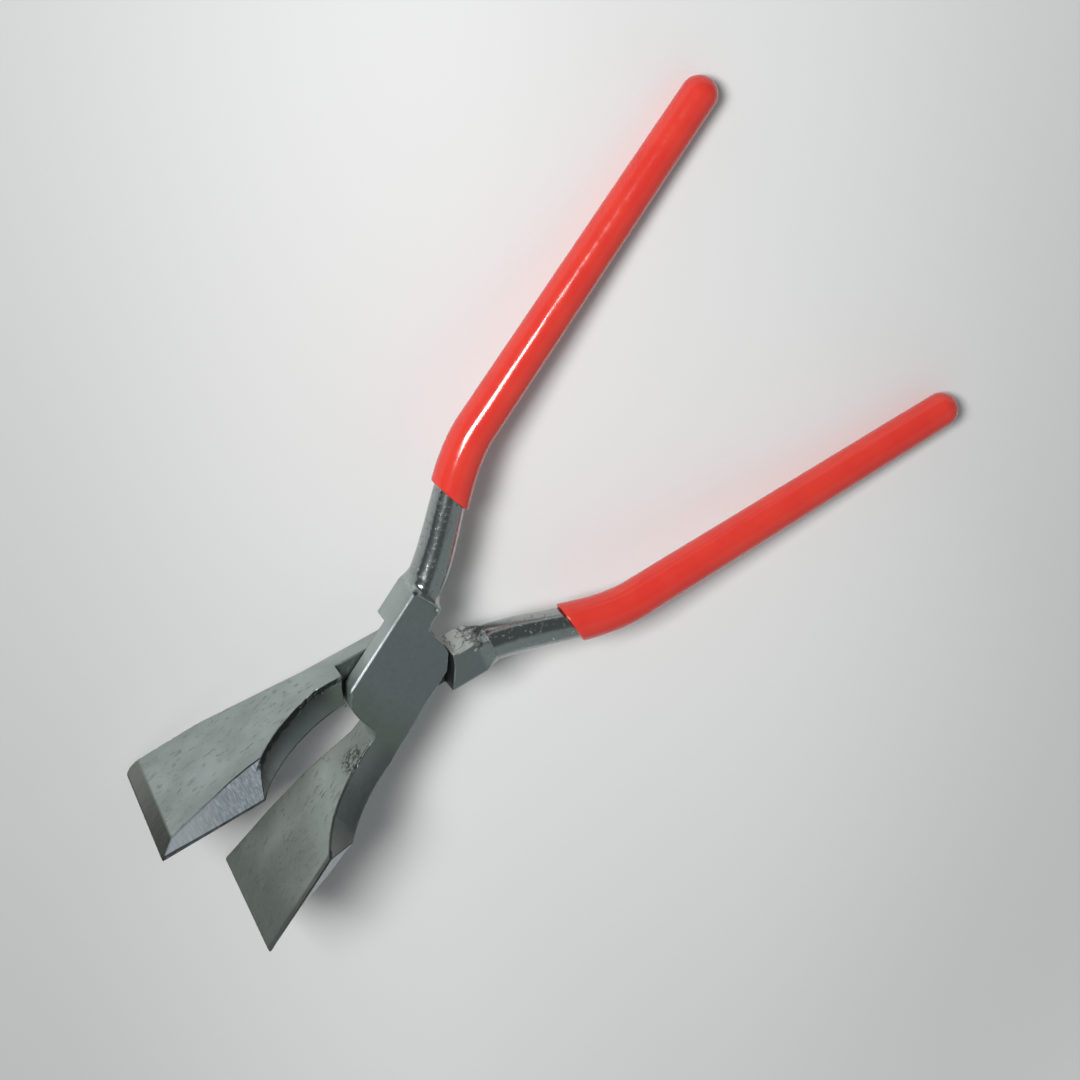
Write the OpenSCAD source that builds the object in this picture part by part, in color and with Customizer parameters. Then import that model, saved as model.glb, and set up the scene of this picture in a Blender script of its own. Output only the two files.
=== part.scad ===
// Seaming pliers with an open lap joint: two forged steel arms, one flush rivet
// and two dipped sleeves. All sizes are in millimetres.
//
// The rivet stands on the Z axis. Z = 0 is the back face of the joint. The jaws
// point to -X and the handles to +X, and X halves the angle between the arms.
//
// Each arm is drawn closed and centred on its own middle plane, with its
// clamping face on the plane y = 0, its blade below that plane and its handle
// above it. The rear arm is the front one mirrored, with the lap on its other
// half. Both are then turned apart about the rivet.

/* [Overall] */
// Distance from the rivet to the tips of the blades
jaw_l = 86.5; // [78:0.5:110]
// Distance from the rivet to the round ends of the grips
handle_l = 191.5; // [140:1:260]
// Half of the angle between the arms as they lie
rest_half_angle = 15; // [1:0.5:38]

/* [Blades] */
// Width of a blade along its tip
blade_w = 60; // [50:1:80]
// Length of the straight side of a blade, from tip to root corner
blade_side_l = 33; // [26:0.5:38]
// Radius of the hollow between a blade's root corner and the joint
throat_r = 33.5; // [32:0.5:45]
// Length of the ground bevel across the tip
tip_bevel_l = 5.2; // [3:0.1:8]
// Thickness left at the tip edge
tip_t = 0.5; // [0.3:0.1:1]
// Thickness of a blade where its tip bevel starts
tip_bevel_t = 2.4; // [1.6:0.1:3.2]
// Distance from the tip to the bend in the back of a blade
belly_l = 26.5; // [20:0.5:32]
// Thickness of a blade at the bend in its back
belly_t = 6.8; // [5:0.1:8]
// Thickness left under the bevel along the side edge
edge_land = 0.4; // [0.2:0.1:0.8]
// Width of the side bevel at the root corner
bevel_root_w = 9.2; // [5:0.1:11]
// Width of the side bevel where it meets the tip bevel
bevel_tip_w = 6; // [3:0.1:8]
// Length of the flat clamping face, from the tip to the throat's relief
clamp_l = 40.5; // [34:0.5:44]
// Distance from the tip to the bend in the sloping side
slope_bend_l = 22.5; // [18:0.5:30]
// Half width of a blade at the bend in the sloping side
slope_bend_w = 23; // [18:0.5:26]

/* [Joint] */
// Thickness of the joint over both laps
joint_t = 15; // [12:0.5:20]
// Gap between the two laps
lap_gap = 0.2; // [0.1:0.05:0.4]
// Radius of the lap's end on the jaw side
lap_jaw_r = 19.3; // [17:0.1:21]
// Radius of the lap's end on the handle side
lap_handle_r = 13.6; // [12:0.1:14.5]
// Running gap between a lap's end and the shoulder that it turns in
shoulder_gap = 0.7; // [0.3:0.1:1]
// Length of the cut that blunts the lap's two outer corners
lap_corner = 2.5; // [1.5:0.1:4]
// Radius of the fillet between the lap's end and the jaw
jaw_fillet_r = 3; // [2:0.1:4]
// Radius of the fillet between the lap's end and the block
block_fillet_r = 2.5; // [1.5:0.1:4]
// Height of the lap's straight edge above the rivet's centre
lap_rise = 12.6; // [11:0.1:14]
// Depth of the arm's back below the rivet's centre
arm_drop = 10.3; // [9.5:0.1:11.5]
// Depth of the arm's back at its deepest, where the throat starts
throat_drop = 11.1; // [10:0.1:12.5]
// Distance from the rivet to that deepest place
deep_l = 26; // [23:0.5:30]
// Depth of the throat's relief below the clamping face
throat_relief = 1.95; // [1:0.05:3]

/* [Rivet] */
// Diameter of the rivet's shank
rivet_d = 8; // [6:0.5:10]
// Diameter of the rivet's two countersunk ends
rivet_head_d = 10; // [9:0.5:13]
// Depth of each countersink
rivet_head_h = 2; // [1:0.1:3]
// Running clearance round the rivet in the front arm
rivet_clearance = 0.05; // [0.02:0.01:0.1]

/* [Handles] */
// Height of the handle's centre line above the rivet's centre, at the joint
handle_rise = 7.6; // [7:0.1:8.5]
// Height that the handle gains in its bow
bow_h = 13.6; // [8:0.1:22]
// Distance from the rivet to the start of the bow
bow_start = 18; // [14:0.5:24]
// Distance from the rivet to the end of the bow
bow_end = 72; // [62:1:90]
// Slope of the straight handle towards its neighbour
toe_in = 0.02; // [0:0.005:0.06]
// Diameter of the round shank at the joint
shank_root_d = 11.8; // [10:0.1:13]
// Diameter of the round shank at the grip's mouth
shank_d = 10.3; // [8:0.1:11]
// Diameter of the round shank at its end
shank_end_d = 8.4; // [6:0.1:9]
// Distance from the rivet to the end of the block behind the joint
block_l = 21.5; // [20:0.1:24]
// Length over which the block narrows to the round shank
block_taper_l = 5; // [3:0.5:8]
// Height of the block's inner side above the rivet's centre
block_low = 2.2; // [1.5:0.1:3]

/* [Grips] */
// Distance from the rivet to the grip's mouth
mouth_l = 51; // [44:1:70]
// Lean of the mouth, away from the other handle
mouth_lean = 7; // [0:1:15]
// Wall of the dipped sleeve
grip_t = 1.25; // [0.8:0.05:2.5]
// Thickness of the sleeve's round end, past the steel
grip_end_t = 3; // [1.5:0.1:5]

/* [Hidden] */

$fn = 96;
// Overshoot of a cut past the face that it opens
cut = 1;
mid_z = joint_t / 2;
half_w = blade_w / 2;

// Root corner of the blade, and the centre of the throat's hollow, which is
// tangent to the lap's front face and passes through that corner
root_x = -(jaw_l - blade_side_l);
throat_z = joint_t / 2 + throat_r;
throat_x = root_x + sqrt(throat_r * throat_r - pow(throat_z - half_w, 2));

// Bends of the arm's back, and the end of the clamping face
belly_x = -(jaw_l - belly_l);
bevel_x = -(jaw_l - tip_bevel_l);
clamp_x = -(jaw_l - clamp_l);

// The shoulders that the other arm's lap turns in, and the straight wall that
// leans off the shoulder behind the joint
jaw_shoulder_r = lap_jaw_r + shoulder_gap;
handle_shoulder_r = lap_handle_r + shoulder_gap;
shoulder_lean = 30;
// Slope of the cuts at the lap's outer corners
corner_slope = 30;

// Where the round shank starts, where it ends inside the sleeve, and where the
// sleeve is first drawn
shank_start = block_l + block_taper_l;
steel_end = handle_l - grip_end_t;
sleeve_start = mouth_l - 8;

// Faces round a handle, rings along its bow, and angle between its dome's rings
tube_sides = 24;
bow_steps = 12;
dome_step = 18;
// Flat left at a dome's tip, as a share of its radius
dome_flat = 0.12;

function ramp(t) = let (c = min(max(t, 0), 1)) c * c * (3 - 2 * c);
function share(x, from, to) = min(max((x - from) / (to - from), 0), 1);

// Centre line, slope and steel radius of the handle at distance x
function handle_y(x) =
    handle_rise + bow_h * ramp((x - bow_start) / (bow_end - bow_start)) - toe_in * max(x - bow_end, 0);
function handle_slope(x) = atan2(handle_y(x + 0.5) - handle_y(x - 0.5), 1);
function shank_r(x) =
    shank_root_d / 2
    - (shank_root_d - shank_d) / 2 * share(x, block_l, mouth_l)
    - (shank_d - shank_end_d) / 2 * share(x, mouth_l, handle_l);

// One ring of a tube round the handle's centre line
function ring(x, r) =
    let (a = handle_slope(x))
    [for (i = [0 : tube_sides - 1])
        let (w = 360 * i / tube_sides)
        [x - r * cos(w) * sin(a), handle_y(x) + r * cos(w) * cos(a), r * sin(w)]];

// A tube along the handle from x = from to a round end at x = to
module handle_tube(from, to, wall) {
    end_r = shank_r(to) + wall;
    dome_x = to - end_r;
    bow = [
        for (i = [0 : bow_steps])
            let (x = from + (bow_end - from) * i / bow_steps)
            [x, shank_r(x) + wall]
    ];
    dome = [for (a = [0 : dome_step : 90 - dome_step]) [dome_x + end_r * sin(a), end_r * cos(a)]];
    tip = [[to, end_r * dome_flat]];
    stations = concat(bow, dome, tip);
    rings = len(stations);
    points = [for (s = stations) each ring(s[0], s[1])];
    sides = [
        for (k = [0 : rings - 2])
            for (i = [0 : tube_sides - 1])
                let (j = (i + 1) % tube_sides, a = k * tube_sides, b = a + tube_sides)
                each [[a + i, b + j, a + j], [a + i, b + i, b + j]]
    ];
    start_cap = [[for (i = [0 : tube_sides - 1]) i]];
    end_cap = [[for (i = [tube_sides - 1 : -1 : 0]) (rings - 1) * tube_sides + i]];
    polyhedron(points, concat(start_cap, sides, end_cap), convexity = 6);
}

// Depth of the arm's back at x, on the jaw side
function back_y(x) = x < belly_x
    ? -tip_bevel_t - (belly_t - tip_bevel_t) * share(x, bevel_x, belly_x)
    : -belly_t - (throat_drop - belly_t) * share(x, belly_x, -deep_l);

// The arm seen along Z: jaw, lap and the block behind the joint
module arm_outline() {
    polygon([
        [-jaw_l, 0], [clamp_x, 0], [-lap_jaw_r - jaw_fillet_r, -throat_relief], [0, -throat_relief],
        [0, -arm_drop], [-deep_l, -throat_drop], [belly_x, -belly_t],
        [bevel_x, -tip_bevel_t], [-jaw_l, -tip_t]
    ]);
    lap_outline();
    translate([0, block_low]) square([block_l, lap_rise - block_low]);
    mirror([1, 0]) lap_fillet(lap_jaw_r, jaw_fillet_r, -throat_relief);
    mirror([0, 1]) lap_fillet(lap_handle_r, block_fillet_r, -block_low);
}

// The lap: a strip with an arc about the rivet at each end
module lap_outline() {
    jaw_corner = sqrt(lap_jaw_r * lap_jaw_r - lap_rise * lap_rise);
    handle_corner = sqrt(lap_handle_r * lap_handle_r - arm_drop * arm_drop);
    // Both cuts run on past the arcs, by twice their length
    beyond = 2 * lap_corner;
    corner_drop = (lap_corner + beyond) * tan(corner_slope);
    intersection() {
        polygon([
            [-lap_jaw_r, -throat_drop], [-deep_l, -throat_drop], [0, -arm_drop],
            [handle_corner - lap_corner, -arm_drop], [handle_corner + beyond, -arm_drop + corner_drop],
            [handle_corner + beyond, lap_rise], [lap_corner - jaw_corner, lap_rise],
            [-jaw_corner - beyond, lap_rise - corner_drop]
        ]);
        union() {
            intersection() {
                circle(lap_jaw_r);
                translate([-lap_jaw_r, -lap_jaw_r]) square([lap_jaw_r, 2 * lap_jaw_r]);
            }
            circle(lap_handle_r);
            square([lap_handle_r, lap_rise]);
        }
    }
}

// Fillet of radius r where an arc about the rivet meets the straight line
// y = line_y, on the +X side and above the line
module lap_fillet(arc_r, r, line_y) {
    centre_y = line_y + r;
    centre_x = sqrt(pow(arc_r + r, 2) - centre_y * centre_y);
    touch = [centre_x, centre_y] * arc_r / (arc_r + r);
    inside = arc_r * cos(asin(line_y / arc_r)) - r / 2;
    difference() {
        polygon([[inside, line_y], [centre_x, line_y], [centre_x, centre_y], touch]);
        translate([centre_x, centre_y]) circle(r);
    }
}

// The arm seen along Y: the wide blade, its hollow on the +Z side and its
// straight slope on the -Z side
module blade_plan() {
    difference() {
        polygon([
            [-jaw_l, half_w], [throat_x, half_w], [throat_x, mid_z], [block_l, mid_z], [block_l, -mid_z],
            [-deep_l, -mid_z], [-(jaw_l - slope_bend_l), -slope_bend_w], [-jaw_l, -half_w]
        ]);
        translate([throat_x, throat_z]) circle(throat_r);
    }
}

// What the wheel takes off along the +Z side of the blade's back
module side_bevel_cut() {
    reach = 3;
    tip = -jaw_l - cut;
    // Each station holds x, the depth of the back there and the bevel's width
    stations = [
        for (x = [clamp_x, root_x, belly_x, bevel_x, tip])
            [x, back_y(x), bevel_tip_w + (bevel_root_w - bevel_tip_w) * share(x, bevel_x, root_x)]
    ];
    points = [
        for (s = stations) each [
            [s[0], -edge_land, half_w],
            [s[0], s[1], half_w - s[2]],
            [s[0], s[1] - reach, half_w - s[2]],
            [s[0], s[1] - reach, half_w + cut],
            [s[0], -edge_land, half_w + cut]
        ]
    ];
    n = 5;
    last = (len(stations) - 1) * n;
    sides = [
        for (k = [0 : len(stations) - 2])
            for (i = [0 : n - 1])
                let (j = (i + 1) % n, a = k * n, b = a + n)
                each [[a + i, b + j, a + j], [a + i, b + i, b + j]]
    ];
    start_cap = [[for (i = [0 : n - 1]) i]];
    end_cap = [[for (i = [n - 1 : -1 : 0]) last + i]];
    polyhedron(points, concat(start_cap, sides, end_cap));
}

// The space for the other arm's lap, on the -Z half
module lap_space() {
    wall_foot = handle_shoulder_r * [cos(shoulder_lean), sin(shoulder_lean)];
    wall_rise = lap_rise + cut - wall_foot[1];
    translate([0, 0, -mid_z - cut]) linear_extrude(mid_z + cut + lap_gap / 2) {
        intersection() {
            circle(jaw_shoulder_r);
            translate([-2 * jaw_shoulder_r, -jaw_shoulder_r]) square(2 * jaw_shoulder_r);
        }
        circle(handle_shoulder_r);
        polygon([
            [0, 0], wall_foot, wall_foot + wall_rise * [-tan(shoulder_lean), 1], [0, lap_rise + cut]
        ]);
    }
}

// One arm, closed and centred, with its lap on the +Z half and no rivet hole
module arm_blank() {
    difference() {
        union() {
            intersection() {
                translate([0, 0, -half_w]) linear_extrude(blade_w) arm_outline();
                rotate([90, 0, 0]) translate([0, 0, -lap_rise - cut])
                    linear_extrude(lap_rise + throat_drop + 2 * cut) blade_plan();
            }
            block_taper();
            handle_tube(shank_start, steel_end, 0);
        }
        side_bevel_cut();
    }
}

// The block narrows from its square end to the round shank
module block_taper() {
    disc_t = 0.5;
    // Keeps the disc just inside the shank
    inset = 0.05;
    hull() {
        translate([block_l - disc_t, block_low, -mid_z]) cube([disc_t, lap_rise - block_low, joint_t]);
        translate([shank_start, handle_y(shank_start), 0])
            rotate([0, 90, handle_slope(shank_start)])
            cylinder(r = shank_r(shank_start) - inset, h = disc_t, $fn = 32);
    }
}

// Lays an arm or a grip where it belongs: side is 1 in front and -1 behind
module at_rest(side) {
    translate([0, 0, mid_z]) rotate([0, 0, side * rest_half_angle])
        if (side > 0) children();
        else mirror([0, 1, 0]) children();
}

// The rivet's shape, grown all round by a clearance
module rivet_form(clearance) {
    r = rivet_d / 2 + clearance;
    head_r = rivet_head_d / 2 + clearance;
    cylinder(r = r, h = joint_t);
    cylinder(r1 = head_r, r2 = r, h = rivet_head_h);
    translate([0, 0, joint_t - rivet_head_h]) cylinder(r1 = r, r2 = head_r, h = rivet_head_h);
}

module front_arm() color("#5a6664") difference() {
    at_rest(1) difference() {
        arm_blank();
        lap_space();
    }
    rivet_form(rivet_clearance);
}

module rear_arm() color("#6c7875") difference() {
    at_rest(-1) difference() {
        arm_blank();
        mirror([0, 0, 1]) lap_space();
    }
    rivet_form(0);
}

module rivet() color("#8a9290") rivet_form(0);

// A sleeve dipped over the end of a handle, cut off at its mouth
module grip() {
    beyond = 4 * shank_d;
    difference() {
        handle_tube(sleeve_start, handle_l, grip_t);
        handle_tube(shank_start, steel_end, 0);
        translate([mouth_l, handle_y(mouth_l), 0]) rotate([0, 0, -mouth_lean])
            translate([-beyond, -beyond / 2, -beyond / 2]) cube(beyond);
    }
}

module front_grip() color("#e84034") at_rest(1) grip();

module rear_grip() color("#e84034") at_rest(-1) grip();

front_arm();
rear_arm();
rivet();
front_grip();
rear_grip();
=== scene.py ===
import math

import bmesh
import bpy
import numpy as np
from mathutils import Matrix, Vector


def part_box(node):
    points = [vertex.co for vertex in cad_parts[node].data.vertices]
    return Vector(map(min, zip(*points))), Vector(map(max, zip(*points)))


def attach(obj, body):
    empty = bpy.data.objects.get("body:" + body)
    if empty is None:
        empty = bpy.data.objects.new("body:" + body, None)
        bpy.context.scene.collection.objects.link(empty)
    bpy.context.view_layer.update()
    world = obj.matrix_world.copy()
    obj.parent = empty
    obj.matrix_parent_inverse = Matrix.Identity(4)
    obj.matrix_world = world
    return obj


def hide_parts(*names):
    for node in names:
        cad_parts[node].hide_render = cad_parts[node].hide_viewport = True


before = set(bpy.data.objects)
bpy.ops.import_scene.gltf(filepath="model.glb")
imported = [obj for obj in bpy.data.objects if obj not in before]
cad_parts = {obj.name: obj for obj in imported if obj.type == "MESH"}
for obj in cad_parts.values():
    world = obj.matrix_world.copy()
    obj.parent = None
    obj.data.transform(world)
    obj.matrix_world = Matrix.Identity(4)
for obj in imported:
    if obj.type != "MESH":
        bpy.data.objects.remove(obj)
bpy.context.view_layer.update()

# Front arm: one drop forging of carbon steel, from the wide blade through the
# lap to the round shank. The jaw's faces are ground, its side is bevelled on a
# wheel, and the whole arm is oiled and blackened to a satin grey-green.

# Sizes in mm, in the arm's own closed frame: the jaw points to -X, the clamping
# face is y = 0, the blade lies below it, the handle above it, and z = 0 is the
# joint's mid-plane
JAW_L, HALF_W, HALF_T = 86.5, 30.0, 7.5
TIP_T, TIP_BEVEL_T, TIP_BEVEL_X = 0.5, 2.4, -81.3
BELLY_X, BELLY_T, DEEP_X, DEEP_T, BACK_T = -60.0, 6.8, -26.0, 11.1, 10.3
CLAMP_X, RELIEF = -46.0, 1.95
THROAT_R, THROAT_X, THROAT_Z = 33.5, -21.862, 41.0
EDGE_LAND, BEVEL_ROOT_W, BEVEL_TIP_W, ROOT_X = 0.4, 9.2, 6.0, -53.5
LAP_JAW_R, LAP_HANDLE_R, LAP_RISE, LAP_CORNER = 19.3, 13.6, 12.6, 2.5
JAW_FILLET_R, BLOCK_FILLET_R, BLOCK_LOW, BLOCK_L, BLOCK_TAPER_L = 3.0, 2.5, 2.2, 21.5, 5.0
LAP_GAP, SHOULDER_GAP, SHOULDER_LEAN = 0.2, 0.7, 30.0
HANDLE_RISE, BOW_H, BOW_START, BOW_END, TOE_IN = 7.6, 13.6, 18.0, 72.0, 0.02
SHANK_ROOT_R, SHANK_R, SHANK_END_R, MOUTH_L, HANDLE_L = 5.9, 5.15, 4.2, 51.0, 191.5
STEEL_END = 188.5
EDGE_R, GROUND_EDGE_R = 0.4, 0.15
EASE_Z, EASE_SLOPE = 26.8, 0.08
SLOPE_X, SLOPE_Z, FAR_CORNER_R = -64.0, -23.0, {1: 0.8, -1: 3.0}
STEP_L, STEEL_OVERLAP = 3.0, 4.0
CHIP_W, CHIP_DEPTH, CHIP_SIZE = 1.3, 1.1, 1.6
FLASH_DEPTH, FLASH_SIZE = 0.9, 2.3
REST_HALF_ANGLE = 15.0


def share(x, start, end):
    return np.clip((x - start) / (end - start), 0, 1)


def handle_line(x):
    """Height of the handle's centre line above the rivet."""
    c = share(x, BOW_START, BOW_END)
    return HANDLE_RISE + BOW_H * c * c * (3 - 2 * c) - TOE_IN * np.maximum(x - BOW_END, 0)


def shank_radius(x):
    return (SHANK_ROOT_R - (SHANK_ROOT_R - SHANK_R) * share(x, BLOCK_L, MOUTH_L)
            - (SHANK_R - SHANK_END_R) * share(x, MOUTH_L, HANDLE_L))


def arc(cx, cy, r, start, end):
    steps = max(3, int(abs(end - start) / 3))
    a = np.radians(np.linspace(start, end, steps))
    return [(cx + r * math.cos(w), cy + r * math.sin(w)) for w in a]


def corner_cut(arc_r, edge_y, toward):
    """Where the 30 degree cut of a lap corner leaves the arc, and where it leaves the edge."""
    flat_x = toward * (math.sqrt(arc_r ** 2 - edge_y ** 2) - LAP_CORNER)
    fall = -math.copysign(math.tan(math.radians(30)), edge_y)
    a = 1 + fall ** 2
    b = 2 * (abs(flat_x) + edge_y * fall)
    c = flat_x ** 2 + edge_y ** 2 - arc_r ** 2
    t = (-b + math.sqrt(b * b - 4 * a * c)) / (2 * a)
    return (flat_x + toward * t, edge_y + fall * t), (flat_x, edge_y)


def angle_of(point):
    return math.degrees(math.atan2(point[1], point[0]))


# The forging seen along Z: clamping face, fillet, lap, block, fillet, back
jaw_cut = corner_cut(LAP_JAW_R, LAP_RISE, -1)
heel_cut = corner_cut(LAP_HANDLE_R, -BACK_T, 1)
jaw_fillet_y = JAW_FILLET_R - RELIEF
jaw_fillet_x = -math.sqrt((LAP_JAW_R + JAW_FILLET_R) ** 2 - jaw_fillet_y ** 2)
jaw_touch = angle_of((-jaw_fillet_x, -jaw_fillet_y))
block_fillet_y = BLOCK_LOW - BLOCK_FILLET_R
block_fillet_x = math.sqrt((LAP_HANDLE_R + BLOCK_FILLET_R) ** 2 - block_fillet_y ** 2)
block_touch = angle_of((block_fillet_x, block_fillet_y))
ARM_OUTLINE = (
    [(-JAW_L, 0), (CLAMP_X, 0)]
    + arc(jaw_fillet_x, jaw_fillet_y, JAW_FILLET_R, -90, jaw_touch)
    + arc(0, 0, LAP_JAW_R, 180 + jaw_touch, angle_of(jaw_cut[0]))
    + [jaw_cut[1], (BLOCK_L - 1, LAP_RISE), (BLOCK_L - 1, BLOCK_LOW)]
    + arc(block_fillet_x, block_fillet_y, BLOCK_FILLET_R, 90, 180 + block_touch)
    + arc(0, 0, LAP_HANDLE_R, block_touch, angle_of(heel_cut[0]))
    + [heel_cut[1], (0, -BACK_T), (DEEP_X, -DEEP_T), (BELLY_X, -BELLY_T),
       (TIP_BEVEL_X, -TIP_BEVEL_T), (-JAW_L, -TIP_T)]
)


def plan_outline(corner_r):
    """The forging seen along Y: the throat's hollow on +Z and the straight slope on -Z."""
    return (
        [(-JAW_L, HALF_W)]
        + arc(THROAT_X, THROAT_Z, THROAT_R, -160.83, -90)
        + [(BLOCK_L, HALF_T), (BLOCK_L, -HALF_T), (DEEP_X, -HALF_T), (SLOPE_X, SLOPE_Z)]
        + arc(-JAW_L + corner_r, -HALF_W + corner_r, corner_r, 285, 180)
    )


# The blade's far corner is ground rounder on the rear arm than on the front one
PLAN_OUTLINE = {lap: plan_outline(r) for lap, r in FAR_CORNER_R.items()}
# The room that the other arm's lap turns in
jaw_shoulder_r = LAP_JAW_R + SHOULDER_GAP
heel_shoulder_r = LAP_HANDLE_R + SHOULDER_GAP
wall_top = 16.0
wall_x = heel_shoulder_r * math.cos(math.radians(SHOULDER_LEAN))
wall_y = heel_shoulder_r * math.sin(math.radians(SHOULDER_LEAN))
LAP_ROOM = (
    arc(0, 0, jaw_shoulder_r, 90, 270)
    + arc(0, 0, heel_shoulder_r, -90, SHOULDER_LEAN)
    + [(wall_x - (wall_top - wall_y) * math.tan(math.radians(SHOULDER_LEAN)), wall_top)]
)


def outline_distance(outline, u, v):
    """Distance to a closed outline, negative inside it."""
    points = np.array(outline, float)
    nearest = np.full(np.broadcast(u, v).shape, 1e9)
    inside = np.zeros(nearest.shape, bool)
    for p, q in zip(points, np.roll(points, -1, 0)):
        e = q - p
        if e @ e < 1e-9:
            continue
        t = np.clip(((u - p[0]) * e[0] + (v - p[1]) * e[1]) / (e @ e), 0, 1)
        nearest = np.minimum(nearest, (u - p[0] - t * e[0]) ** 2 + (v - p[1] - t * e[1]) ** 2)
        if e[1] != 0:
            inside ^= ((p[1] > v) != (q[1] > v)) & (u < p[0] + (v - p[1]) * e[0] / e[1])
    return np.where(inside, -1, 1) * np.sqrt(nearest)


def both(a, b, r):
    """The common part of two solids, with its new edges rounded to r."""
    return np.minimum(np.maximum(a, b), -r) + np.hypot(np.maximum(a + r, 0), np.maximum(b + r, 0))


def back_line(x):
    bevel = TIP_BEVEL_T + (BELLY_T - TIP_BEVEL_T) * share(x, TIP_BEVEL_X, BELLY_X)
    return -np.where(x < BELLY_X, bevel, BELLY_T + (DEEP_T - BELLY_T) * share(x, BELLY_X, DEEP_X))


def side_bevel(x, y, z):
    """Distance past the ground bevel on the blade's +Z side."""
    width = BEVEL_TIP_W + (BEVEL_ROOT_W - BEVEL_TIP_W) * share(x, TIP_BEVEL_X, ROOT_X)
    depth = -back_line(x) - EDGE_LAND
    return ((z - HALF_W) * depth - (y + EDGE_LAND) * width) / np.hypot(depth, width)


lump_table = np.random.default_rng(11).random((24, 24, 24))


def lumps(x, y, z, size):
    """Smooth random lumps from 0 to 1, about one to each size."""
    p = np.stack(np.broadcast_arrays(x, y, z), -1) / size
    low = np.floor(p).astype(int)
    t = p - low
    t = t * t * (3 - 2 * t)
    total = 0.0
    for corner in np.ndindex(2, 2, 2):
        at = (low + corner) % 24
        weight = np.prod(np.where(corner, t, 1 - t), -1)
        total = total + weight * lump_table[at[..., 0], at[..., 1], at[..., 2]]
    return total


def shank(x, y, z, lap):
    """Distance to the block behind the lap, its taper and the round shank."""
    taper = share(x, BLOCK_L, BLOCK_L + BLOCK_TAPER_L)
    # The front block ends in a short step above; all others slope down to the shank
    step = 1 - (1 - share(x, BLOCK_L, BLOCK_L + STEP_L)) ** 2
    drop = np.where((z > 0) & (lap > 0), step, taper)
    end_r = shank_radius(STEEL_END)
    at = np.minimum(x, STEEL_END - end_r)
    r = shank_radius(at)
    slope = (handle_line(at + 0.5) - handle_line(at - 0.5)) * taper
    rise = (1 - taper) * (LAP_RISE + BLOCK_LOW) / 2 + taper * handle_line(at)
    half_y = (1 - taper) * (LAP_RISE - BLOCK_LOW) / 2 + taper * r
    half_z = (1 - drop) * HALF_T + drop * r
    corner = (1 - drop) * EDGE_R + drop * np.minimum(half_y, half_z)
    dy = np.abs(y - rise) / np.hypot(1, slope) - half_y + corner
    dz = np.abs(z) - half_z + corner
    side = np.hypot(np.maximum(dy, 0), np.maximum(dz, 0)) + np.minimum(np.maximum(dy, dz), 0) - corner
    past = np.maximum(x - at, 0)
    side = np.where(past > 0, np.sqrt((side + r) ** 2 + past ** 2) - r, side)
    # The block's inner side keeps the rough trimmed flash of the forging
    rough = share(x, 8, 13) * share(x, 29, 25) * share(y, 4.6, 3.6)
    if np.any(rough > 0):
        side = side + rough * FLASH_DEPTH * np.maximum(lumps(x, y, z, FLASH_SIZE) - 0.35, 0)
    return np.maximum(side, BLOCK_L - STEEL_OVERLAP - x)


def forging(x, y, z, lap):
    """Distance to one arm's surface. lap is 1 where its lap is the +Z half, -1 where the -Z half."""
    across = outline_distance(ARM_OUTLINE, x, y)
    along = outline_distance(PLAN_OUTLINE[lap], x, z)
    if lap < 0:
        # The trimmed flash leaves a chipped edge between the back and the throat
        edge = 1 - np.hypot(across, along) / CHIP_W
        where = (x > -55) & (x < -24) & (y < -3) & (z > 0) & (edge > 0)
        chips = np.maximum(lumps(x, y, z, CHIP_SIZE) - 0.3, 0)
        along = along + np.where(where, edge * CHIP_DEPTH * chips, 0)
    body = both(across, along, EDGE_R)
    bevel = np.where(x < CLAMP_X, side_bevel(x, y, z), -9.0)
    body = both(body, bevel, GROUND_EDGE_R)
    # A narrow eased band runs along the clamping face's near edge
    eased = np.where(x < ROOT_X + 2, (y + EASE_SLOPE * (z - EASE_Z)) / math.hypot(1, EASE_SLOPE), -9.0)
    body = np.maximum(body, eased)
    room = both(outline_distance(LAP_ROOM, x, y), lap * z - LAP_GAP / 2, 0.0)
    return both(np.minimum(body, shank(x, y, z, lap)), -room, EDGE_R)


def arm_distance(p, lap):
    """The same for a list of points, with less work along the shank."""
    x, y, z = p.T
    d = shank(x, y, z, lap)
    near = x < BLOCK_L
    d[near] = forging(x[near], y[near], z[near], lap)
    return d


def slope_of(p, lap, h):
    """Direction in which the distance grows."""
    g = np.stack([arm_distance(p + h * e, lap) - arm_distance(p - h * e, lap) for e in np.eye(3)], -1)
    return g / (2 * h)


def spaced(*spans):
    """Planes at the steps that each span (start, end, step) asks for."""
    return np.concatenate([np.arange(a, b - 1e-6, s) for a, b, s in spans])


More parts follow.
